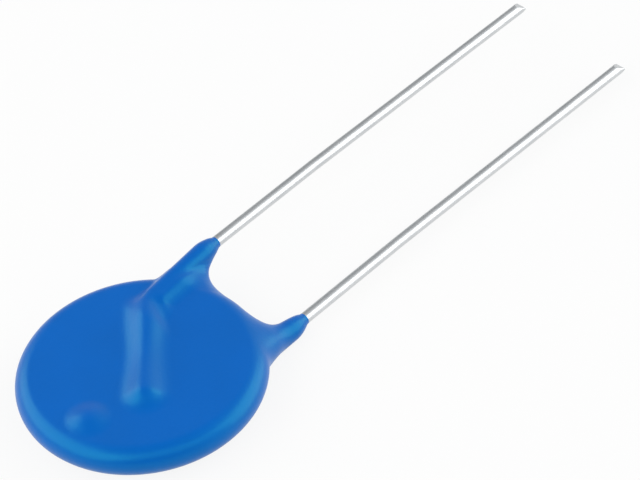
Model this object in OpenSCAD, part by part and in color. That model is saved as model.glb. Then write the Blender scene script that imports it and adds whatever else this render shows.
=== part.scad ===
// Radial-lead metal oxide varistor: a zinc oxide disc between two silver electrodes,
// with a tinned copper lead soldered across each face and a dip-coated epoxy covering over
// them all. It lies flat with the front lead uppermost and the lead tips toward +Y.
// Everything is placed from the disc's centre, and seated() sets it on z = 0 at the end.
// Lengths are in millimetres.

/* [Ceramic disc] */
// Diameter of the sintered zinc oxide disc
ceramic_d = 14; // [13:0.25:15]
// Thickness of the disc, which sets the voltage it clamps at
ceramic_t = 1.2; // [1:0.1:1.6]

/* [Electrodes] */
// Diameter of the silver layer fired onto each face
electrode_d = 12.6; // [11:0.1:12.8]
// Thickness of the silver layer
electrode_t = 0.02; // [0.02:0.01:0.05]

/* [Leads] */
// Diameter of the tinned copper wire
wire_d = 0.75; // [0.6:0.05:0.85]
// Distance between the axes of the two leads
lead_pitch = 7.5; // [7:0.25:8]
// How far the middle of the pair lies to the left of the disc's centre
pair_offset = 0.18; // [0:0.01:0.5]
// Distance from the disc's centre to the front lead's tip
front_reach = 38.8; // [20:0.1:45]
// Distance from the disc's centre to the rear lead's tip
rear_reach = 40; // [20:0.1:45]
// Distance from the disc's centre, along the leads, to the corner of the bends on its faces
bend_y = 4; // [3.4:0.1:4.4]
// How far before and after its corner each bend begins and ends
bend_cut = 1; // [0.6:0.1:1.2]
// Distance from the disc's centre line to the corner of the front lead's bend
front_bend_x = 3.47; // [3.2:0.01:3.8]
// Distance from the disc's centre line to the corner of the rear lead's bend
rear_bend_x = 3.95; // [3.4:0.01:4]
// Distance past the disc's centre line to the soldered end of each lead
end_x = 2.1; // [1.6:0.1:2.6]
// Distance below the disc's centre to the soldered end of each lead
end_y = 1.55; // [1.2:0.05:2.2]
// Distance from the disc's centre to the knees, inside the legs, that set the leads parallel
knee_y = 9.9; // [9.6:0.1:10.1]
// How far the wire swells at a bend
bend_swell = 0.02; // [0.01:0.005:0.03]
// Length of the cutter's bevel at each lead tip
bevel_l = 0.55; // [0.3:0.05:0.9]
// Thickness of the edge that the cutter leaves
edge_t = 0.12; // [0.08:0.02:0.3]

/* [Solder] */
// Width of the solder along each crossing stretch
solder_w = 2; // [1.6:0.1:2.4]
// Height of the solder up the side of the wire
solder_h = 0.42; // [0.36:0.02:0.5]
// Thickness of solder under the wire
solder_film = 0.03; // [0.02:0.01:0.06]
// Thickness of the solder at its outer edge
solder_edge = 0.05; // [0.03:0.01:0.1]
// Length of the crossing stretch, next to the bend, that has no solder
solder_gap = 1.5; // [1.4:0.1:2.4]

/* [Covering] */
// Epoxy over each electrode
coat_face = 0.5; // [0.35:0.05:0.8]
// Epoxy round the disc's edge
coat_rim = 0.8; // [0.6:0.05:1]
// Epoxy over the wires where they cross the faces
coat_cross = 0.2; // [0.18:0.01:0.4]
// Epoxy over the wires between their bends and the disc's rim
coat_ridge = 0.22; // [0.18:0.01:0.4]
// Epoxy round the wires where the legs are thickest, before they narrow to their tips
coat_leg = 0.325; // [0.25:0.005:0.4]
// Epoxy round the wires at the very tips of the legs
coat_tip = 0.025; // [0.02:0.005:0.06]
// Distance from the disc's centre at which the legs start to narrow
leg_y = 9; // [8.6:0.05:9.4]
// Distance from the disc's centre to the legs' tips
tip_y = 10.25; // [10.1:0.05:10.6]
// How wide the epoxy rounds off the foot of each ridge
ridge_blend = 1.2; // [0.4:0.05:1.4]
// How wide the epoxy webs the front leg to the rim
front_web = 3.5; // [2:0.1:3.8]
// How wide the epoxy webs the rear leg to the rim
rear_web = 2.6; // [1.6:0.1:3.2]
// Distance from the disc's centre at which the webs begin
web_start = 4.9; // [4:0.1:5.5]
// Distance from the disc's centre at which the webs are full
web_full = 7.6; // [6.8:0.1:8.4]
// Distance from mid-thickness at which a web has died out
web_height = 1.5; // [1.2:0.05:1.8]

/* [Drain mark] */
// Distance of the mark to the right of the disc's centre line
drain_x = 0.6; // [-1:0.1:1.5]
// Distance of the mark from the disc's centre, away from the leads
drain_y = 5.6; // [5:0.1:5.8]
// Radius of the mark
drain_r = 1.2; // [0.8:0.1:1.4]
// Height of the mark above the face
drain_h = 0.2; // [0.05:0.01:0.25]

/* [Hidden] */
$fn = 64;
wire_fn = 32;
bend_fn = 24;
ball_turn = 45;

EPOXY_BLUE = "#0b62c6";
CERAMIC_GREY = "#4b4d50";
SILVER_GREY = "#c9c8c2";
SOLDER_GREY = "#a7a9ac";
TIN_GREY = "#cfd2d4";

wire_r = wire_d / 2;
half_ceramic = ceramic_t / 2;
electrode_top = half_ceramic + electrode_t;
lead_z = electrode_top + solder_film + wire_r;

// The covering's own outline: a disc with a full round rim.
rim_r = half_ceramic + coat_face;
coat_r = ceramic_d / 2 + coat_rim;
rim_centre = coat_r - rim_r;
cross_r = wire_r + coat_cross;
ridge_r = wire_r + coat_ridge;
leg_r = wire_r + coat_leg;
tip_r = wire_r + coat_tip;

// Each lead's way in plan: soldered end, start and end of its bend, knee, tip. The front lead
// crosses to the right.
front_x = -pair_offset - lead_pitch / 2;
rear_x = -pair_offset + lead_pitch / 2;
FRONT_WAY = way_of([end_x, -end_y], [-front_bend_x, bend_y], front_x, front_reach);
REAR_WAY = way_of([-end_x, -end_y], [rear_bend_x, bend_y], rear_x, rear_reach);
mid_y = (max(front_reach, rear_reach) - coat_r) / 2;

// ---- Small geometry ----

// Point on the line from a to b at height y.
function at_height(a, b, y) = a + (b - a) * (y - a.y) / (b.y - a.y);
function lifted(p, z) = [p.x, p.y, z];
function heading(v) = atan2(v.y, v.x);
function toward(a, b, d) = a + (b - a) * d / norm(b - a);

function way_of(end, corner, x, reach) =
    let (knee = [x, knee_y])
    [end, toward(corner, end, bend_cut), toward(corner, knee, bend_cut), knee, [x, reach]];

// Straight wire from a to b, both in plan.
module wire_run(a, b) {
    translate([a.x, a.y, 0])
        rotate([0, 90, heading(b - a)])
            cylinder(h = norm(b - a), d = wire_d, $fn = wire_fn);
}

// The bend between two runs: the wire swells a little where it is kinked. The ball lies on its
// side, with its poles and seam turned away from both runs.
module wire_bend(p) {
    translate([p.x, p.y, 0])
        rotate([0, 90, ball_turn])
            sphere(d = wire_d + 2 * bend_swell, $fn = bend_fn);
}

// ---- Leads ----

// One lead: across the face, round its bend, out through the leg and on from the knee to a tip
// that a side cutter has pinched to a chisel edge.
module lead(way) {
    for (i = [0:2])
        wire_run(way[i], way[i + 1]);
    for (i = [1:3])
        wire_bend(way[i]);
    difference() {
        wire_run(way[3], way[4]);
        for (side = [-1, 1])
            cutter_bevel(way[4], side);
    }
}

// Wedge that one jaw of the cutter takes off the top (side 1) or the bottom (side -1).
module cutter_bevel(tip, side) {
    depth = wire_r - edge_t / 2;
    slope = atan2(depth, bevel_l);
    translate([tip.x, tip.y, side * edge_t / 2])
        rotate([-side * slope, 0, 0])
            translate([-wire_d, -wire_d - bevel_l, side > 0 ? 0 : -wire_d])
                cube([2 * wire_d, 2 * (wire_d + bevel_l), wire_d]);
}

// ---- Solder ----

// Half of the solder's section: flat beside the wire, then a hollow fillet out to a thin edge.
module solder_half() {
    fillet = solder_h - solder_edge;
    difference() {
        square([solder_w / 2, solder_h]);
        translate([solder_w / 2, solder_h])
            circle(r = fillet);
    }
}

// Solder along the crossing stretch, standing on z = 0, with rounded ends.
module solder_mound(way) {
    start = toward(way[1], way[0], solder_gap);
    run = norm(way[0] - start);
    translate([start.x, start.y, 0])
        rotate([0, 0, heading(way[0] - start)]) {
            rotate([90, 0, 90])
                linear_extrude(height = run)
                    for (side = [0, 1])
                        mirror([side, 0])
                            solder_half();
            rotate_extrude()
                solder_half();
            translate([run, 0, 0])
                rotate_extrude()
                    solder_half();
        }
}

// The mound with the wire's bed left in it.
module soldered(way) {
    difference() {
        solder_mound(way);
        translate([0, 0, solder_film + wire_r])
            wire_run(way[0], way[1]);
    }
}

// ---- Covering ----

// The wet epoxy pulls into rounded feet and webs wherever a wire meets the disc. Its skin is
// where covering(p) is zero: negative inside, positive outside, in millimetres near the skin.

// Two distances joined with a round fillet about k wide.
function blend(a, b, k) = let (h = max(k - abs(a - b), 0) / k) min(a, b) - h * h * k / 4;
function smooth_step(t) = let (u = max(0, min(1, t))) u * u * (3 - 2 * u);

// Distance to a bar from a to b whose radius runs from ra to rb, evenly for a power of 1 and
// like a bullet's nose for a power of 2.
function bar_gap(p, a, b, ra, rb, power = 1) =
    let (ab = b - a, t = max(0, min(1, (p - a) * ab / (ab * ab))))
    norm(p - a - t * ab) - ra - (rb - ra) * pow(t, power);

// The epoxy sleeve on one lead: soldered end, start and end of the bend, thickest part of the
// leg and tip of the leg.
function sleeve_of(way, z) = [
    for (p = [way[0], way[1], way[2], at_height(way[2], way[3], leg_y), [way[4].x, tip_y]])
        lifted(p, z)
];
FRONT_SLEEVE = sleeve_of(FRONT_WAY, lead_z);
REAR_SLEEVE = sleeve_of(REAR_WAY, -lead_z);
corner_blend = 0.15;

function sleeve_gap(p, s) =
    let (
        crossing = bar_gap(p, s[1], s[0], cross_r, cross_r),
        turn = bar_gap(p, s[1], s[2], cross_r, ridge_r),
        leg = min(bar_gap(p, s[2], s[3], ridge_r, leg_r), bar_gap(p, s[3], s[4], leg_r, tip_r, 2))
    )
    blend(blend(crossing, turn, corner_blend), leg, corner_blend);

// Share of the web at p: it grows toward the legs and dies out above and below.
function web_share(p) =
    smooth_step((p.y - web_start) / (web_full - web_start)) * max(0, 1 - pow(p.z / web_height, 2));

function drain_mark(p) =
    p.z < 0 ? 0 : drain_h * pow(max(0, 1 - pow(norm([p.x - drain_x, p.y + drain_y]) / drain_r, 2)), 2);

function covering(p) =
    let (
        disc = norm([max(norm([p.x, p.y]) - rim_centre, 0), p.z]) - rim_r,
        share = web_share(p),
        front = blend(disc, sleeve_gap(p, FRONT_SLEEVE), ridge_blend + (front_web - ridge_blend) * share),
        both = blend(front, sleeve_gap(p, REAR_SLEEVE), ridge_blend + (rear_web - ridge_blend) * share)
    )
    both - drain_mark(p);

// The skin is lofted across X. Each section has a spine inside the epoxy, and rays go out from
// the spine to the skin: up from it, round its lead end, down from it and round its far end.
spine_steps = 26;
fan_steps = 5;
edge_sections = 8;
leg_sections = 21;
middle_sections = 12;
leg_half_w = 1.8;
spine_half_w = 1.5;
halvings = 14;
ray_l = 3.2;

function bell(t) = abs(t) > 1 ? 0 : pow(1 - t * t, 2);
function spread(a, b, n) = [for (i = [0:n - 1]) a + (b - a) * i / n];

// Places of the sections: close together near the disc's left and right ends and at the legs.
near_edge = [for (i = [1:edge_sections]) 1 - cos(90 * i / edge_sections)];
SECTIONS = let (
    front = [front_x - leg_half_w, front_x + leg_half_w],
    rear = [rear_x - leg_half_w, rear_x + leg_half_w],
    ends = concat([-coat_r], front, rear, [coat_r])
) concat(
    [for (i = [0:edge_sections - 2]) ends[0] + (ends[1] - ends[0]) * near_edge[i]],
    spread(ends[1], ends[2], leg_sections),
    spread(ends[2], ends[3], middle_sections),
    spread(ends[3], ends[4], leg_sections),
    [for (i = [edge_sections - 1:-1:0]) ends[5] + (ends[4] - ends[5]) * near_edge[i]]
);

// Where the ray from o toward d meets the skin, by halving the stretch it lies in.
function cast(o, d, near = 0, far = ray_l, n = halvings) =
    let (mid = (near + far) / 2)
    n == 0 ? o + d * mid
    : covering(o + d * mid) < 0 ? cast(o, d, mid, far, n - 1)
    : cast(o, d, near, mid, n - 1);

function ring(x) =
    let (
        half = rim_centre * sqrt(max(0, 1 - pow(x / coat_r, 2))),
        front = bell((x - front_x) / spine_half_w),
        rear = bell((x - rear_x) / spine_half_w),
        last = half + (tip_y - half) * (front + rear) * 0.99,
        top = lead_z * (front - rear),
        spine = [
            for (i = [0:spine_steps])
                let (y = -half + (last + half) * i / spine_steps)
                [x, y, top * max(0, min(1, (y - half + spine_half_w) / 2))]
        ],
        fan = [for (i = [1:fan_steps]) 90 - 180 * i / (fan_steps + 1)]
    )
    concat(
        [for (o = spine) cast(o, [0, 0, 1])],
        [for (a = fan) cast(spine[spine_steps], [0, cos(a), sin(a)])],
        [for (i = [spine_steps:-1:0]) cast(spine[i], [0, 0, -1])],
        [for (i = [fan_steps - 1:-1:0]) cast(spine[0], [0, -cos(fan[i]), sin(fan[i])])]
    );

// The skin's lowest point is under the rear ridge or the rear leg.
UNDER = [for (i = [1:3], t = [0:0.2:1]) REAR_SLEEVE[i] + t * (REAR_SLEEVE[i + 1] - REAR_SLEEVE[i])];
lowest = min([for (o = UNDER) cast(o, [0, 0, -1]).z]);

// Closed skin: the rings joined one to the next, with a point at each end. Each panel is
// split along the way that the ridge on its own face runs.
module skin() {
    rings = [for (x = SECTIONS) ring(x)];
    n = len(rings);
    m = len(rings[0]);
    points = concat([for (r = rings) each r], [[-coat_r, 0, 0], [coat_r, 0, 0]]);
    walls = [
        for (i = [0:n - 2], j = [0:m - 1])
            let (a = i * m + j, b = i * m + (j + 1) % m, c = a + m, d = b + m)
            each [[a, c, b], [b, c, d]]
    ];
    left_end = [for (j = [0:m - 1]) [n * m, j, (j + 1) % m]];
    right_end = [for (j = [0:m - 1]) [n * m + 1, (n - 1) * m + (j + 1) % m, (n - 1) * m + j]];
    polyhedron(points = points, faces = concat(walls, left_end, right_end));
}

// ---- The sub-parts ----

// Sets the part on z = 0, with the middle of its length and width at the origin.
module seated() {
    translate([0, -mid_y, -lowest])
        children();
}

// Stands its children on the front electrode, or hangs them under the rear one.
module on_front() {
    translate([0, 0, electrode_top])
        children();
}

module on_rear() {
    translate([0, 0, -electrode_top])
        mirror([0, 0, 1])
            children();
}

module ceramic_body() {
    translate([0, 0, -half_ceramic])
        cylinder(h = ceramic_t, d = ceramic_d);
}

module electrode_body() {
    translate([0, 0, -electrode_t])
        cylinder(h = electrode_t, d = electrode_d);
}

module lead_body(way) {
    translate([0, 0, solder_film + wire_r])
        lead(way);
}

// Blue epoxy, dipped over the soldered stack with the leads uppermost.
module coating() {
    color(EPOXY_BLUE)
        seated()
            difference() {
                skin();
                ceramic_body();
                on_front() {
                    electrode_body();
                    solder_mound(FRONT_WAY);
                    lead_body(FRONT_WAY);
                }
                on_rear() {
                    electrode_body();
                    solder_mound(REAR_WAY);
                    lead_body(REAR_WAY);
                }
            }
}

module ceramic_disc() {
    color(CERAMIC_GREY)
        seated()
            ceramic_body();
}

module front_electrode() {
    color(SILVER_GREY)
        seated()
            on_front()
                electrode_body();
}

module rear_electrode() {
    color(SILVER_GREY)
        seated()
            on_rear()
                electrode_body();
}

module front_solder() {
    color(SOLDER_GREY)
        seated()
            on_front()
                soldered(FRONT_WAY);
}

module rear_solder() {
    color(SOLDER_GREY)
        seated()
            on_rear()
                soldered(REAR_WAY);
}

module front_lead() {
    color(TIN_GREY)
        seated()
            on_front()
                lead_body(FRONT_WAY);
}

module rear_lead() {
    color(TIN_GREY)
        seated()
            on_rear()
                lead_body(REAR_WAY);
}

coating();
ceramic_disc();
front_electrode();
rear_electrode();
front_solder();
rear_solder();
front_lead();
rear_lead();
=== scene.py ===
import math

import bpy
from mathutils import Matrix, Vector


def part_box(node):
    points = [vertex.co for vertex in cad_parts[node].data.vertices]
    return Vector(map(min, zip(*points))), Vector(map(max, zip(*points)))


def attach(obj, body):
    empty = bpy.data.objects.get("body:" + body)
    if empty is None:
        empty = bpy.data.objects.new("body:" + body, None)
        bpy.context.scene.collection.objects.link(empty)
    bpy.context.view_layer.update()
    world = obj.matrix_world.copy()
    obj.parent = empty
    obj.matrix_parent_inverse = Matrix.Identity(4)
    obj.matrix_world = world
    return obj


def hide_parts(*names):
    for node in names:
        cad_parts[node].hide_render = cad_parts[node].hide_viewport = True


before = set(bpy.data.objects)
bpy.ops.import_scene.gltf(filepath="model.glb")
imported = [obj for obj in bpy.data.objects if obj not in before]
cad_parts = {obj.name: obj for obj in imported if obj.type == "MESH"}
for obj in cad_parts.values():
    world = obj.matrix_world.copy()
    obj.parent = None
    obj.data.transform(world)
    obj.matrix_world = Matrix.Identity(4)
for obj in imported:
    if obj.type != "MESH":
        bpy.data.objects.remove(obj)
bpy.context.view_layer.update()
scene = bpy.context.scene
scene.view_settings.view_transform = "Standard"

# ---- The table, the studio and the camera ----
# One varistor lies on a white sheet among three soft boxes: a wide one on its left, a taller one
# behind it on the right and a weak one over its front. The room's own light comes more from the
# right. None of this is the object.

MM = 0.001

# The sheet's width in metres, its real tint, and the share of pure white that the eye, the metal
# and the gloss see in it.
TABLE_WIDTH = 3.0
TABLE_WHITE = "#dadad9"
TABLE_GLOW = 0.88

# The room's two sides, the way to the bright one, and where between them the one fades into the
# other (the cosine of the angle to that way).
STUDIO_LEFT = "#a8aaac"
STUDIO_RIGHT = "#e4e5e6"
BRIGHT_SIDE = (0.5, 0.86, 0.0)
FADE_START = 0.1
FADE_END = 0.6

LAMP_DISTANCE = 0.40

# A long lens, about 230 mm away and tilted a little to its right.
CAMERA_AZIMUTH = math.radians(49.93)
CAMERA_ELEVATION = math.radians(43.75)
CAMERA_ROLL = math.radians(7.87)
CAMERA_DISTANCE = 231.8 * MM
CAMERA_AIM = Vector((0.206, -0.809, 1.69)) * MM
CAMERA_LENS = 208.0
CAMERA_SENSOR = 36.0


def linear(code):
    """A hex sRGB colour as linear RGBA."""
    parts = [int(code[i : i + 2], 16) / 255 for i in (1, 3, 5)]
    return [p / 12.92 if p <= 0.04045 else ((p + 0.055) / 1.055) ** 2.4 for p in parts] + [1.0]


def add(tree, kind, inputs=(), **settings):
    """Adds a node with its settings, and links or sets its inputs by place or by name.

    An input given as a node is linked to the first output that node has in use.
    """
    node = tree.nodes.new(kind)
    for name, value in settings.items():
        setattr(node, name, value)
    for key, value in inputs.items() if isinstance(inputs, dict) else enumerate(inputs):
        if isinstance(value, bpy.types.Node):
            value = next(socket for socket in value.outputs if socket.enabled)
        if isinstance(value, bpy.types.NodeSocket):
            tree.links.new(value, node.inputs[key])
        else:
            node.inputs[key].default_value = value
    return node


def new_material(name):
    """A material with an empty node tree."""
    material = bpy.data.materials.new(name)
    material.use_nodes = True
    material.node_tree.nodes.clear()
    return material


def table_material():
    """White paper: plain and matt, so the part's soft shadow is all that shows on it."""
    material = new_material("white_paper")
    tree = material.node_tree
    path = add(tree, "ShaderNodeLightPath").outputs
    eye, gloss, glass = (path[f"Is {kind} Ray"] for kind in ("Camera", "Glossy", "Transmission"))
    seen = add(tree, "ShaderNodeMath", (eye, gloss), operation="MAXIMUM")
    seen = add(tree, "ShaderNodeMath", (seen, glass), operation="MAXIMUM")
    share = add(tree, "ShaderNodeMath", (seen, TABLE_GLOW), operation="MULTIPLY")
    paper = add(tree, "ShaderNodeBsdfDiffuse", {"Color": linear(TABLE_WHITE)})
    glow = add(tree, "ShaderNodeEmission", {"Color": (1, 1, 1, 1), "Strength": 1.0})
    mix = add(tree, "ShaderNodeMixShader", (share, paper, glow))
    add(tree, "ShaderNodeOutputMaterial", {"Surface": mix})
    return material


table_mesh = bpy.data.meshes.new("table")
half = TABLE_WIDTH / 2
corners = [(-half, -half, 0), (half, -half, 0), (half, half, 0), (-half, half, 0)]
table_mesh.from_pydata(corners, [], [(0, 1, 2, 3)])
table = bpy.data.objects.new("table", table_mesh)
table_mesh.materials.append(table_material())
scene.collection.objects.link(table)

world = bpy.data.worlds.new("studio")
world.use_nodes = True
world.node_tree.nodes.clear()
way = add(world.node_tree, "ShaderNodeTexCoord").outputs["Generated"]
side = add(world.node_tree, "ShaderNodeVectorMath", (way, BRIGHT_SIDE), operation="DOT_PRODUCT")
share = add(
    world.node_tree,
    "ShaderNodeMapRange",
    {"Value": side, "From Min": FADE_START, "From Max": FADE_END},
)
walls = add(
    world.node_tree,
    "ShaderNodeMix",
    {0: share, 6: linear(STUDIO_LEFT), 7: linear(STUDIO_RIGHT)},
    data_type="RGBA",
)
studio = add(world.node_tree, "ShaderNodeBackground", {"Color": walls, "Strength": 1.0})
add(world.node_tree, "ShaderNodeOutputWorld", {"Surface": studio})
scene.world = world


def soft_box(name, azimuth, elevation, wide, tall, glow):
    """A rectangular lamp seen from the object at these angles, in degrees, with this radiance."""
    turn, rise = math.radians(azimuth), math.radians(elevation)
    way = Vector((math.cos(turn) * math.cos(rise), math.sin(turn) * math.cos(rise), math.sin(rise)))
    lamp = bpy.data.lights.new(name, "AREA")
    lamp.shape = "RECTANGLE"
    lamp.size = 2 * LAMP_DISTANCE * math.tan(math.radians(wide / 2))
    lamp.size_y = 2 * LAMP_DISTANCE * math.tan(math.radians(tall / 2))
    lamp.energy = glow * math.pi * lamp.size * lamp.size_y
    holder = bpy.data.objects.new(name, lamp)
    holder.location = way * LAMP_DISTANCE
    holder.rotation_euler = way.to_track_quat("Z", "Y").to_euler()
    scene.collection.objects.link(holder)


soft_box("left_box", azimuth=232, elevation=36, wide=104, tall=52, glow=1.8)
soft_box("right_box", azimuth=56, elevation=24, wide=60, tall=56, glow=1.8)
soft_box("front_box", azimuth=322, elevation=46, wide=70, tall=34, glow=0.85)

back = Vector(
    (
        math.sin(CAMERA_AZIMUTH) * math.cos(CAMERA_ELEVATION),
        -math.cos(CAMERA_AZIMUTH) * math.cos(CAMERA_ELEVATION),
        math.sin(CAMERA_ELEVATION),
    )
)
level_right = Vector((0, 0, 1)).cross(back).normalized()
level_up = back.cross(level_right)
right = level_right * math.cos(CAMERA_ROLL) - level_up * math.sin(CAMERA_ROLL)
up = level_right * math.sin(CAMERA_ROLL) + level_up * math.cos(CAMERA_ROLL)
camera_data = bpy.data.cameras.new("camera")
camera_data.lens = CAMERA_LENS
camera_data.sensor_width = CAMERA_SENSOR
camera_data.clip_start = 0.01
camera = bpy.data.objects.new("camera", camera_data)
place = Matrix((right, up, back)).transposed().to_4x4()
place.translation = CAMERA_AIM + back * CAMERA_DISTANCE
camera.matrix_world = place
scene.collection.objects.link(camera)
scene.camera = camera

# ---- The two leads ----
# Each lead is tinned copper wire: it crosses one face of the disc, kinks at the rim, comes out
# of an epoxy leg and runs straight to a tip that a side cutter has pinched to a chisel edge.

# Each wire's thickness, and its route in plan, in millimetres from the middle of the disc: the
# end on the face, the corner at the rim and the slight knee inside the leg's tip.
WIRE = 0.75
END = {"front_lead": (2.1, -1.55), "rear_lead": (-2.1, -1.55)}
CORNER = {"front_lead": (-3.47, 4.0), "rear_lead": (3.95, 4.0)}
KNEE = {"front_lead": (-3.93, 9.9), "rear_lead": (3.57, 9.9)}
LEAD_LEVEL = {"front_lead": 1.025, "rear_lead": -1.025}

# The corner is cut this far on both sides and then rounded.
BEND_CUT = 1.0
BEND_RADIUS = 1.2

# Hand-straightened wire wanders a little: how far up it is, and how far aside of its knee.
WAVES = ((19.0, -0.13), (29.0, -0.09), (41.0, -0.04))

# The cut tip: the length of the pinched part and the thickness of its edge.
BEVEL_LENGTH = 0.55
BEVEL_EDGE = 0.12

# How finely the wire is drawn.
WIRE_SIDES = 40
WIRE_STEP = 0.06
WIRE_BEND_POINTS = 16

# Tin: streaks 0.1 mm across and 2.4 mm long from drawing, in clouds of about 1 mm.
TIN_BRIGHT = "#d9dbdc"
TIN_DULL = "#c5c8ca"
TIN_ROUGH = (0.28, 0.38)
STREAKS_PER_METRE = (9000, 420, 9000)
CLOUDS_PER_METRE = 900.0

disc_low, disc_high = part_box("ceramic_disc")
DISC = (disc_low + disc_high) / 2 / MM


def tin_material():
    """Dip-tinned copper: bright, soft-edged reflections, drawn streaks along the wire."""
    material = new_material("tinned_copper")
    tree = material.node_tree
    place = add(tree, "ShaderNodeTexCoord").outputs["Object"]
    along = add(tree, "ShaderNodeMapping", {"Vector": place, "Scale": STREAKS_PER_METRE})
    streaks = add(tree, "ShaderNodeTexNoise", {"Vector": along, "Scale": 1.0, "Detail": 3.0})
    cloud = add(
        tree, "ShaderNodeTexNoise", {"Vector": place, "Scale": CLOUDS_PER_METRE, "Detail": 2.0}
    )
    tint = add(
        tree,
        "ShaderNodeMix",
        {0: cloud, 6: linear(TIN_BRIGHT), 7: linear(TIN_DULL)},
        data_type="RGBA",
    )
    rough = add(
        tree,
        "ShaderNodeMapRange",
        {
            "Value": streaks,
            "From Min": 0.3,
            "From Max": 0.7,
            "To Min": TIN_ROUGH[0],
            "To Max": TIN_ROUGH[1],
        },
    )
    bump = add(tree, "ShaderNodeBump", {"Height": streaks, "Strength": 0.25, "Distance": 0.01 * MM})
    shader = add(
        tree,
        "ShaderNodeBsdfPrincipled",
        {"Base Color": tint, "Metallic": 1.0, "Roughness": rough, "Normal": bump},
    )
    add(tree, "ShaderNodeOutputMaterial", {"Surface": shader})
    return material


def new_tree(name, result, **inputs):
    """An empty Geometry Nodes tree: its one output, then its named inputs by their kind."""
    tree = bpy.data.node_groups.new(name, "GeometryNodeTree")
    kind, title = result
    tree.interface.new_socket(name=title, in_out="OUTPUT", socket_type="NodeSocket" + kind)
    for kind, titles in inputs.items():
        for title in titles:
            tree.interface.new_socket(name=title, in_out="INPUT", socket_type="NodeSocket" + kind)
    return tree


def lead_tree():
    """Sweeps a round wire along a rounded route and pinches its tip between two planes."""
    tree = new_tree(
        "bent_wire",
        ("Geometry", "Wire"),
        Geometry=("Route",),
        Float=("Wire diameter", "Bend radius", "Tip", "Level", "Bevel length", "Bevel edge"),
        Material=("Material",),
    )
    tree.is_modifier = True
    given = add(tree, "NodeGroupInput").outputs
    radius = add(tree, "ShaderNodeMath", (given["Wire diameter"], 0.5), operation="MULTIPLY")
    route = add(tree, "GeometryNodeMeshToCurve", (given["Route"],))
    bent = add(
        tree,
        "GeometryNodeFilletCurve",
        {"Curve": route, "Count": WIRE_BEND_POINTS, "Radius": given["Bend radius"]},
        mode="POLY",
    )
    fine = add(
        tree,
        "GeometryNodeResampleCurve",
        {"Curve": bent, "Length": WIRE_STEP * MM},
        mode="LENGTH",
    )
    ring = add(
        tree, "GeometryNodeCurvePrimitiveCircle", {"Resolution": WIRE_SIDES, "Radius": radius}
    )
    tube = add(
        tree,
        "GeometryNodeCurveToMesh",
        {"Curve": fine, "Profile Curve": ring, "Fill Caps": True},
    )

    # Near the tip nothing may stand further from the wire's level than the bevel's half depth.
    place = add(tree, "GeometryNodeInputPosition")
    split = add(tree, "ShaderNodeSeparateXYZ", (place,)).outputs
    to_tip = add(tree, "ShaderNodeMath", (given["Tip"], split["Y"]), operation="SUBTRACT")
    edge = add(tree, "ShaderNodeMath", (given["Bevel edge"], 0.5), operation="MULTIPLY")
    limit = add(
        tree,
        "ShaderNodeMapRange",
        {
            "Value": to_tip,
            "From Min": 0.0,
            "From Max": given["Bevel length"],
            "To Min": edge,
            "To Max": radius,
        },
    )
    height = add(tree, "ShaderNodeMath", (split["Z"], given["Level"]), operation="SUBTRACT")
    lower = add(tree, "ShaderNodeMath", (limit, -1.0), operation="MULTIPLY")
    pinched = add(tree, "ShaderNodeMath", (height, limit), operation="MINIMUM")
    pinched = add(tree, "ShaderNodeMath", (pinched, lower), operation="MAXIMUM")
    settled = add(tree, "ShaderNodeMath", (pinched, given["Level"]), operation="ADD")
    moved = add(tree, "ShaderNodeCombineXYZ", (split["X"], split["Y"], settled))
    formed = add(tree, "GeometryNodeSetPosition", {"Geometry": tube, "Position": moved})
    smooth = add(tree, "GeometryNodeSetShadeSmooth", {"Geometry": formed})
    plain = add(tree, "GeometryNodeRealizeInstances", (smooth,))
    dressed = add(
        tree, "GeometryNodeSetMaterial", {"Geometry": plain, "Material": given["Material"]}
    )
    add(tree, "NodeGroupOutput", (dressed,))
    return tree


def grown(name, routes, tree, sizes):
    """Runs a tree on polylines through these points, and makes a plain mesh object of it."""
    seed = bpy.data.meshes.new(name + "_route")
    points = [point for route in routes for point in route]
    starts = [sum(len(route) for route in routes[:i]) for i in range(len(routes))]
    edges = [(i, i + 1) for i in range(len(points) - 1) if i + 1 not in starts]
    seed.from_pydata(points, edges, [])
    holder = bpy.data.objects.new(name + "_route", seed)
    scene.collection.objects.link(holder)
    modifier = holder.modifiers.new("form", "NODES")
    modifier.node_group = tree
    for socket in tree.interface.items_tree:
        if socket.item_type == "SOCKET" and socket.in_out == "INPUT" and socket.name in sizes:
            modifier[socket.identifier] = sizes[socket.name]
    evaluated = holder.evaluated_get(bpy.context.evaluated_depsgraph_get())
    mesh = bpy.data.meshes.new_from_object(evaluated)
    bpy.data.objects.remove(holder)
    piece = bpy.data.objects.new(name, mesh)
    mesh.name = name
    scene.collection.objects.link(piece)
    return piece


def toward(start, end, distance):
    """The point in plan that far from start, on the way to end."""
    way = Vector(end) - Vector(start)
    return tuple(Vector(start) + way.normalized() * distance)


def in_metres(plan, height):
    """A point given in plan, with its height, both in millimetres."""
    return Vector((plan[0], plan[1], height)) * MM


TIN = tin_material()
WIRE_FORM = lead_tree()
for node in ("front_lead", "rear_lead"):
    low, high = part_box(node)
    level = LEAD_LEVEL[node]
    *waves, last, beyond = [Vector((KNEE[node][0] + aside, y)) for y, aside in WAVES]
    reach = high.y / MM - DISC.y
    tip = last.lerp(beyond, (reach - last.y) / (beyond.y - last.y))
    plan = (
        END[node],
        toward(CORNER[node], END[node], BEND_CUT),
        toward(CORNER[node], KNEE[node], BEND_CUT),
        KNEE[node],
        *waves,
        last,
        tip,
    )
    lead = grown(
        node + "_wire",
        [[DISC * MM + in_metres(point, level) for point in plan]],
        WIRE_FORM,
        {
            "Wire diameter": WIRE * MM,
            "Bend radius": BEND_RADIUS * MM,
            "Tip": high.y,
            "Level": (DISC.z + level) * MM,
            "Bevel length": BEVEL_LENGTH * MM,
            "Bevel edge": BEVEL_EDGE * MM,
            "Material": TIN,
        },
    )
    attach(lead, "root")
    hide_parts(node)

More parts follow.
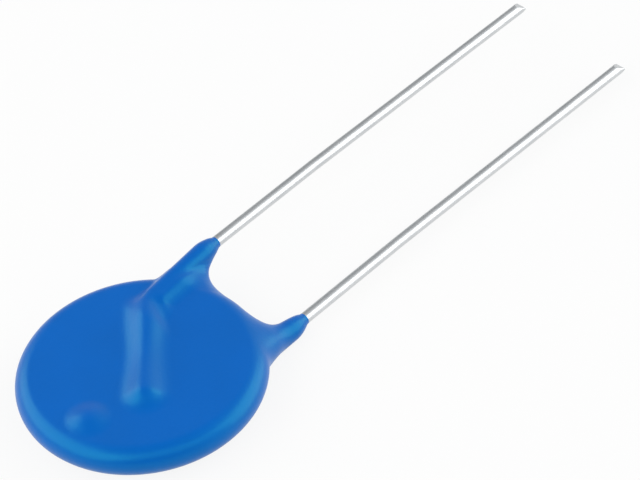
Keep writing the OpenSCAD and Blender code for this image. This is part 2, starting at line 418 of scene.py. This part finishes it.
# ---- The epoxy covering ----
# Blue epoxy that the soldered disc was dipped in, leads uppermost. It pulls up the wires into
# two legs, rounds over the crossed wires as ridges and webs the legs to the disc's rim.

# How thick the epoxy lies, in millimetres: on the ceramic's faces and round its rim, then on the
# wires, along the crossing, on the full leg and at the leg's tip.
COAT_FACE = 0.5
COAT_RIM = 0.8
COAT_RIDGE = 0.22
COAT_LEG = 0.325
COAT_TIP = 0.025
CERAMIC_RADIUS = 7.0
CERAMIC_HALF = 0.6

# The legs: how far up from the middle of the disc they start to thicken, are full, and end. They
# narrow to the tip like a bullet. The ridge rounds each corner of the route at the bend radius.
LEG_START = 5.0
LEG_Y = 9.0
TIP_Y = 10.25
NOSE_POWER = 2.0
COAT_BEND = 1.6
COAT_BEND_POINTS = 12

# Width of the hollow fillet at the foot of a ridge. It changes between these two heights, from
# the broad foot of the crossing to the leg's own, which is tight on the front and soft behind.
CROSSING_FOOT = 1.3
FRONT_FOOT = 0.2
REAR_FOOT = 1.2
FOOT_START = 2.6
FOOT_END = 4.7

# While it cures, the epoxy sags off the middle of the crossing: how deep, where, and how far.
SAG = 0.22
SAG_MIDDLE = 0.7
SAG_LENGTH = 2.4

# It also stays in the corner on the inner side of each leg, as a sloping shoulder. Start and full
# are measured from the wire towards the middle.
SHOULDER = 0.8
SHOULDER_START = -0.3
SHOULDER_FULL = 0.9
SHOULDER_BLEND = 0.3

# The webs: the width of their fillets, the two heights between which they grow to that width,
# and how far off the middle plane they reach.
FRONT_WEB = 3.5
REAR_WEB = 2.6
WEB_START = 4.9
WEB_FULL = 7.6
WEB_HEIGHT = 1.5

# The last drop, which set as a low bump near the lowest point of the dipped disc.
DRAIN = (0.95, -5.2)
DRAIN_RADIUS = 1.6
DRAIN_HEIGHT = 0.34

# The skin's mesh size with the steps of free room round it, and its slow ripple, 4 mm long.
SKIN_STEP = 0.09
SKIN_MARGIN = 4
RIPPLE_DEPTH = 0.015
RIPPLES_PER_METRE = 260.0

# The real blue is deeper than a screen can show, so what gleams on it shows little red: the sheen
# is tinted for that. The peel's dimples are 0.2 mm wide, and the pools of colour 4 mm.
EPOXY_BLUE = "#0055b3"
EPOXY_DEEP = "#0050a9"
EPOXY_SHEEN = "#50f2d0"
EPOXY_GLOSS = 0.8
EPOXY_ROUGH = (0.27, 0.39)
EPOXY_IOR = 1.5
POOLS_PER_METRE = 260.0
DIMPLES_PER_METRE = 4500.0


def epoxy_material():
    """Fluidised-bed epoxy: an opaque even blue, satin, with a faint orange-peel skin."""
    material = new_material("epoxy_dip_coat")
    tree = material.node_tree
    place = add(tree, "ShaderNodeTexCoord").outputs["Object"]
    pools = add(
        tree, "ShaderNodeTexNoise", {"Vector": place, "Scale": POOLS_PER_METRE, "Detail": 2.0}
    )
    peel = add(
        tree,
        "ShaderNodeTexNoise",
        {"Vector": place, "Scale": DIMPLES_PER_METRE, "Detail": 3.0, "Roughness": 0.55},
    )
    colour = add(
        tree,
        "ShaderNodeMix",
        {0: pools, 6: linear(EPOXY_BLUE), 7: linear(EPOXY_DEEP)},
        data_type="RGBA",
    )
    rough = add(
        tree,
        "ShaderNodeMapRange",
        {"Value": peel, "To Min": EPOXY_ROUGH[0], "To Max": EPOXY_ROUGH[1]},
    )
    bump = add(tree, "ShaderNodeBump", {"Height": peel, "Strength": 0.6, "Distance": 0.012 * MM})
    shader = add(
        tree,
        "ShaderNodeBsdfPrincipled",
        {
            "Base Color": colour,
            "Roughness": rough,
            "IOR": EPOXY_IOR,
            "Specular IOR Level": EPOXY_GLOSS,
            "Specular Tint": linear(EPOXY_SHEEN),
            "Normal": bump,
        },
    )
    add(tree, "ShaderNodeOutputMaterial", {"Surface": shader})
    return material


def join_tree():
    """Two gaps joined with a round fillet about as wide as the width given."""
    tree = new_tree("round_join", ("Float", "Gap"), Float=("One", "Other", "Width"))
    given = add(tree, "NodeGroupInput").outputs
    apart = add(tree, "ShaderNodeMath", (given["One"], given["Other"]), operation="SUBTRACT")
    apart = add(tree, "ShaderNodeMath", (apart,), operation="ABSOLUTE")
    near = add(tree, "ShaderNodeMath", (given["Width"], apart), operation="SUBTRACT")
    near = add(tree, "ShaderNodeMath", (near, 0.0), operation="MAXIMUM")
    square = add(tree, "ShaderNodeMath", (near, near), operation="MULTIPLY")
    wide = add(tree, "ShaderNodeMath", (given["Width"], 4.0), operation="MULTIPLY")
    fill = add(tree, "ShaderNodeMath", (square, wide), operation="DIVIDE")
    nearest = add(tree, "ShaderNodeMath", (given["One"], given["Other"]), operation="MINIMUM")
    gap = add(tree, "ShaderNodeMath", (nearest, fill), operation="SUBTRACT")
    add(tree, "NodeGroupOutput", (gap,))
    return tree


def bell_tree():
    """A smooth hump: one where the distance is nothing, and gone where it reaches the width."""
    tree = new_tree("bell", ("Float", "Hump"), Float=("Distance", "Width"))
    given = add(tree, "NodeGroupInput").outputs
    ratio = add(tree, "ShaderNodeMath", (given["Distance"], given["Width"]), operation="DIVIDE")
    square = add(tree, "ShaderNodeMath", (ratio, ratio), operation="MULTIPLY")
    left = add(tree, "ShaderNodeMath", (1.0, square), operation="SUBTRACT", use_clamp=True)
    hump = add(tree, "ShaderNodeMath", (left, left), operation="MULTIPLY")
    add(tree, "NodeGroupOutput", (hump,))
    return tree


def covering_tree(lengths):
    """Fills a volume wherever the wet epoxy reaches, and lays a smooth skin round it.

    It works out a gap: how far a place is outside the epoxy, and less than nothing within it.
    Its inputs are these lengths, by name, with a few places and the material.
    """
    tree = new_tree(
        "dip_coat",
        ("Geometry", "Skin"),
        Geometry=("Wires",),
        Float=lengths,
        Vector=("Centre", "Drain place", "Low", "High"),
        Material=("Material",),
    )
    tree.is_modifier = True
    given = add(tree, "NodeGroupInput").outputs
    join, bell = join_tree(), bell_tree()
    where = add(tree, "GeometryNodeInputPosition")
    here = add(tree, "ShaderNodeVectorMath", (where, given["Centre"]), operation="SUBTRACT")
    split = add(tree, "ShaderNodeSeparateXYZ", (here,)).outputs
    upper = add(tree, "ShaderNodeMath", (split["Z"], 0.0), operation="GREATER_THAN")

    # The dipped disc: flat on both faces, with a half round rim.
    flat = add(tree, "ShaderNodeVectorMath", (here, (1, 1, 0)), operation="MULTIPLY")
    out = add(tree, "ShaderNodeVectorMath", (flat,), operation="LENGTH")
    out = add(tree, "ShaderNodeMath", (out, given["Rim centre"]), operation="SUBTRACT")
    out = add(tree, "ShaderNodeMath", (out, 0.0), operation="MAXIMUM")
    section = add(tree, "ShaderNodeCombineXYZ", {"X": out, "Z": split["Z"]})
    section = add(tree, "ShaderNodeVectorMath", (section,), operation="LENGTH")
    gap = add(tree, "ShaderNodeMath", (section, given["Rim radius"]), operation="SUBTRACT")

    # The web's share of a place: all near the middle plane up by the legs, none on the disc.
    webbed = add(
        tree,
        "ShaderNodeMapRange",
        {"Value": split["Y"], "From Min": given["Web start"], "From Max": given["Web full"]},
        interpolation_type="SMOOTHSTEP",
    )
    height = add(tree, "ShaderNodeMath", (split["Z"], given["Web height"]), operation="DIVIDE")
    height = add(tree, "ShaderNodeMath", (height, height), operation="MULTIPLY")
    level = add(tree, "ShaderNodeMath", (1.0, height), operation="SUBTRACT", use_clamp=True)
    webbed = add(tree, "ShaderNodeMath", (webbed, level), operation="MULTIPLY")

    # The leg's share of a place: none along the crossing, all past the bend.
    turned = add(
        tree,
        "ShaderNodeMapRange",
        {"Value": split["Y"], "From Min": given["Foot start"], "From Max": given["Foot end"]},
        interpolation_type="SMOOTHSTEP",
    )

    # The two wires with their rounded bends; each place minds the one on its own face.
    wires = add(tree, "GeometryNodeMeshToCurve", (given["Wires"],))
    wires = add(
        tree,
        "GeometryNodeFilletCurve",
        {"Curve": wires, "Count": COAT_BEND_POINTS, "Radius": given["Bend radius"]},
        mode="POLY",
    )
    wires = add(tree, "GeometryNodeCurveToMesh", {"Curve": wires})
    wires = add(tree, "GeometryNodeSeparateGeometry", (wires, upper)).outputs
    for wire, side in ((wires["Selection"], "Front"), (wires["Inverted"], "Rear")):
        nearest = add(tree, "GeometryNodeProximity", (wire,), target_element="EDGES").outputs
        foot = nearest["Position"]
        foot = add(tree, "ShaderNodeVectorMath", (foot, given["Centre"]), operation="SUBTRACT")
        foot = add(tree, "ShaderNodeSeparateXYZ", (foot,)).outputs

        # The sleeve: it thickens up the leg, narrows at its nose and sags along the crossing.
        radius = add(
            tree,
            "ShaderNodeMapRange",
            {
                "Value": foot["Y"],
                "From Min": given["Leg start"],
                "From Max": given["Leg full"],
                "To Min": given["Ridge radius"],
                "To Max": given["Leg radius"],
            },
        )
        nose = add(
            tree,
            "ShaderNodeMapRange",
            {"Value": foot["Y"], "From Min": given["Leg full"], "From Max": given["Leg tip"]},
        )
        nose = add(tree, "ShaderNodeMath", (nose, NOSE_POWER), operation="POWER")
        blunt = (given["Leg radius"], given["Tip radius"])
        blunt = add(tree, "ShaderNodeMath", blunt, operation="SUBTRACT")
        nose = add(tree, "ShaderNodeMath", (nose, blunt), operation="MULTIPLY")
        radius = add(tree, "ShaderNodeMath", (radius, nose), operation="SUBTRACT")
        sag = add(tree, "ShaderNodeMath", (foot["Y"], given["Sag middle"]), operation="SUBTRACT")
        sag = add(tree, "GeometryNodeGroup", (sag, given["Sag length"]), node_tree=bell)
        sag = add(tree, "ShaderNodeMath", (sag, given["Sag"]), operation="MULTIPLY")
        radius = add(tree, "ShaderNodeMath", (radius, sag), operation="SUBTRACT")
        sleeve = add(tree, "ShaderNodeMath", (nearest["Distance"], radius), operation="SUBTRACT")

        # The fillet between the sleeve and the disc, as wide as its place on the part asks.
        width = add(
            tree,
            "ShaderNodeMapRange",
            {"Value": turned, "To Min": given["Crossing foot"], "To Max": given[side + " foot"]},
        )
        width = add(
            tree,
            "ShaderNodeMapRange",
            {"Value": webbed, "To Min": width, "To Max": given[side + " web"]},
        )
        joined = add(tree, "GeometryNodeGroup", (gap, sleeve, width), node_tree=join)

        # The shoulder: a slope at half a right angle over the corner on the leg's inner side.
        outer = add(tree, "ShaderNodeMath", (foot["X"],), operation="ABSOLUTE")
        inner = add(tree, "ShaderNodeMath", (split["X"],), operation="ABSOLUTE")
        inward = add(tree, "ShaderNodeMath", (outer, inner), operation="SUBTRACT")
        inward = add(
            tree,
            "ShaderNodeMapRange",
            {
                "Value": inward,
                "From Min": given["Shoulder start"],
                "From Max": given["Shoulder full"],
            },
            interpolation_type="SMOOTHSTEP",
        )
        reach = add(tree, "ShaderNodeMath", (inward, turned), operation="MULTIPLY")
        reach = add(tree, "ShaderNodeMath", (reach, given["Shoulder"]), operation="MULTIPLY")
        slope = add(tree, "ShaderNodeMath", (gap, sleeve), operation="ADD")
        slope = add(tree, "ShaderNodeMath", (slope, reach), operation="SUBTRACT")
        slope = add(tree, "ShaderNodeMath", (slope, math.sqrt(2)), operation="DIVIDE")
        blend = given["Shoulder blend"]
        gap = add(tree, "GeometryNodeGroup", (joined, slope, blend), node_tree=join)

    # The last drop, on the upper face alone, and the ripple all over.
    drain = add(tree, "ShaderNodeVectorMath", (flat, given["Drain place"]), operation="DISTANCE")
    drain = add(tree, "GeometryNodeGroup", (drain, given["Drain radius"]), node_tree=bell)
    drain = add(tree, "ShaderNodeMath", (drain, given["Drain height"]), operation="MULTIPLY")
    drain = add(tree, "ShaderNodeMath", (drain, upper), operation="MULTIPLY")
    gap = add(tree, "ShaderNodeMath", (gap, drain), operation="SUBTRACT")
    ripple = add(
        tree, "ShaderNodeTexNoise", {"Vector": here, "Scale": RIPPLES_PER_METRE, "Detail": 1.0}
    )
    ripple = add(tree, "ShaderNodeMath", (ripple, given["Ripple"]), operation="MULTIPLY")
    gap = add(tree, "ShaderNodeMath", (gap, ripple), operation="ADD")
    depth = add(tree, "ShaderNodeMath", (gap, -1.0), operation="MULTIPLY")

    # The volume, in cubes of one step, and its skin, moved to where the gap is nothing.
    room = add(tree, "ShaderNodeVectorMath", (given["High"], given["Low"]), operation="SUBTRACT")
    step = add(tree, "ShaderNodeCombineXYZ", (given["Step"], given["Step"], given["Step"]))
    cells = add(tree, "ShaderNodeVectorMath", (room, step), operation="DIVIDE")
    count = add(tree, "ShaderNodeSeparateXYZ", (cells,)).outputs
    volume = add(
        tree,
        "GeometryNodeVolumeCube",
        {
            "Density": depth,
            "Background": -1.0,
            "Min": given["Low"],
            "Max": given["High"],
            "Resolution X": count["X"],
            "Resolution Y": count["Y"],
            "Resolution Z": count["Z"],
        },
    )
    skin = add(
        tree,
        "GeometryNodeVolumeToMesh",
        {"Volume": volume, "Threshold": 0.0},
        resolution_mode="GRID",
    )
    outward = add(tree, "GeometryNodeInputNormal")
    settle = add(tree, "ShaderNodeVectorMath", {0: outward, "Scale": depth}, operation="SCALE")
    fair = add(tree, "GeometryNodeSetPosition", {"Geometry": skin, "Offset": settle})
    smooth = add(tree, "GeometryNodeSetShadeSmooth", {"Geometry": fair})
    plain = add(tree, "GeometryNodeRealizeInstances", (smooth,))
    dressed = add(
        tree, "GeometryNodeSetMaterial", {"Geometry": plain, "Material": given["Material"]}
    )
    add(tree, "NodeGroupOutput", (dressed,))
    return tree


coat_low, coat_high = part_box("coating")
margin = Vector((1, 1, 1)) * SKIN_MARGIN * SKIN_STEP * MM
coated = [
    [
        DISC * MM + in_metres(point, LEAD_LEVEL[node])
        for point in (END[node], CORNER[node], KNEE[node], (KNEE[node][0], TIP_Y))
    ]
    for node in ("front_lead", "rear_lead")
]
lengths = {
    "Rim centre": CERAMIC_RADIUS + COAT_RIM - CERAMIC_HALF - COAT_FACE,
    "Rim radius": CERAMIC_HALF + COAT_FACE,
    "Bend radius": COAT_BEND,
    "Ridge radius": WIRE / 2 + COAT_RIDGE,
    "Leg radius": WIRE / 2 + COAT_LEG,
    "Tip radius": WIRE / 2 + COAT_TIP,
    "Leg start": LEG_START,
    "Leg full": LEG_Y,
    "Leg tip": TIP_Y,
    "Sag": SAG,
    "Sag middle": SAG_MIDDLE,
    "Sag length": SAG_LENGTH,
    "Crossing foot": CROSSING_FOOT,
    "Front foot": FRONT_FOOT,
    "Rear foot": REAR_FOOT,
    "Foot start": FOOT_START,
    "Foot end": FOOT_END,
    "Shoulder": SHOULDER,
    "Shoulder start": SHOULDER_START,
    "Shoulder full": SHOULDER_FULL,
    "Shoulder blend": SHOULDER_BLEND,
    "Front web": FRONT_WEB,
    "Rear web": REAR_WEB,
    "Web start": WEB_START,
    "Web full": WEB_FULL,
    "Web height": WEB_HEIGHT,
    "Drain radius": DRAIN_RADIUS,
    "Drain height": DRAIN_HEIGHT,
    "Ripple": RIPPLE_DEPTH,
    "Step": SKIN_STEP,
}
covering = grown(
    "epoxy_covering",
    coated,
    covering_tree(lengths),
    {
        **{name: length * MM for name, length in lengths.items()},
        "Centre": DISC * MM,
        "Drain place": in_metres(DRAIN, 0),
        "Low": coat_low - margin,
        "High": coat_high + margin,
        "Material": epoxy_material(),
    },
)
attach(covering, "root")
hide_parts("coating")

# ---- The ceramic disc ----
# Zinc oxide powder pressed into a tablet and sintered hard: the working part of the varistor,
# a dark matt ceramic that the covering hides.

# Pressing leaves a mottle of about 1 mm. The grain is drawn at 0.1 mm, ten times the real one.
CERAMIC_GREY = "#4b4d50"
CERAMIC_DARK = "#3c3e41"
MOTTLES_PER_METRE = 1200.0
GRAINS_PER_METRE = 12000.0


def ceramic_material():
    """Sintered zinc oxide: dark, matt and very slightly mottled from pressing."""
    material = new_material("sintered_zinc_oxide")
    tree = material.node_tree
    place = add(tree, "ShaderNodeTexCoord").outputs["Object"]
    mottle = add(
        tree, "ShaderNodeTexNoise", {"Vector": place, "Scale": MOTTLES_PER_METRE, "Detail": 4.0}
    )
    grain = add(
        tree, "ShaderNodeTexNoise", {"Vector": place, "Scale": GRAINS_PER_METRE, "Detail": 2.0}
    )
    colour = add(
        tree,
        "ShaderNodeMix",
        {0: mottle, 6: linear(CERAMIC_GREY), 7: linear(CERAMIC_DARK)},
        data_type="RGBA",
    )
    bump = add(tree, "ShaderNodeBump", {"Height": grain, "Strength": 0.5, "Distance": 0.01 * MM})
    shader = add(
        tree,
        "ShaderNodeBsdfPrincipled",
        {"Base Color": colour, "Roughness": 0.75, "IOR": 2.0, "Normal": bump},
    )
    add(tree, "ShaderNodeOutputMaterial", {"Surface": shader})
    return material


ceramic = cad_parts["ceramic_disc"]
ceramic.data.materials.clear()
ceramic.data.materials.append(ceramic_material())

# ---- The electrodes ----
# Silver paste screen-printed on both faces of the ceramic and fired on: a thin matt metal film
# that stops short of the edge.

# The printing screen's mesh leaves marks 0.2 mm apart.
SILVER_PALE = "#c9c8c2"
SILVER_WARM = "#bdb9ae"
PRINT_MARKS_PER_METRE = 5000.0


def silver_material():
    """Fired silver paste: matt and pale, with the faint unevenness of a screen print."""
    material = new_material("fired_silver")
    tree = material.node_tree
    place = add(tree, "ShaderNodeTexCoord").outputs["Object"]
    marks = add(
        tree,
        "ShaderNodeTexNoise",
        {"Vector": place, "Scale": PRINT_MARKS_PER_METRE, "Detail": 3.0},
    )
    colour = add(
        tree,
        "ShaderNodeMix",
        {0: marks, 6: linear(SILVER_PALE), 7: linear(SILVER_WARM)},
        data_type="RGBA",
    )
    bump = add(tree, "ShaderNodeBump", {"Height": marks, "Strength": 0.4, "Distance": 0.005 * MM})
    shader = add(
        tree,
        "ShaderNodeBsdfPrincipled",
        {"Base Color": colour, "Metallic": 1.0, "Roughness": 0.5, "Normal": bump},
    )
    add(tree, "ShaderNodeOutputMaterial", {"Surface": shader})
    return material


SILVER = silver_material()
for node in ("front_electrode", "rear_electrode"):
    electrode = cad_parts[node]
    electrode.data.materials.clear()
    electrode.data.materials.append(SILVER)

# ---- The solder ----
# Dip solder that wets the silver and climbs both sides of each crossing wire in a hollow fillet.

# Its ripples are about 0.7 mm long.
SOLDER_GREY = "#a7a9ac"
SOLDER_PALE = "#b9babc"
SOLDER_RIPPLES_PER_METRE = 1500.0


def solder_material():
    """Lead-free solder: satin grey metal with the slow ripples it froze in."""
    material = new_material("frozen_solder")
    tree = material.node_tree
    place = add(tree, "ShaderNodeTexCoord").outputs["Object"]
    ripples = add(
        tree,
        "ShaderNodeTexNoise",
        {"Vector": place, "Scale": SOLDER_RIPPLES_PER_METRE, "Detail": 2.0},
    )
    colour = add(
        tree,
        "ShaderNodeMix",
        {0: ripples, 6: linear(SOLDER_GREY), 7: linear(SOLDER_PALE)},
        data_type="RGBA",
    )
    bump = add(tree, "ShaderNodeBump", {"Height": ripples, "Strength": 0.5, "Distance": 0.03 * MM})
    shader = add(
        tree,
        "ShaderNodeBsdfPrincipled",
        {"Base Color": colour, "Metallic": 1.0, "Roughness": 0.35, "Normal": bump},
    )
    add(tree, "ShaderNodeOutputMaterial", {"Surface": shader})
    return material


SOLDER = solder_material()
for node in ("front_solder", "rear_solder"):
    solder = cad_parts[node]
    solder.data.materials.clear()
    solder.data.materials.append(SOLDER)
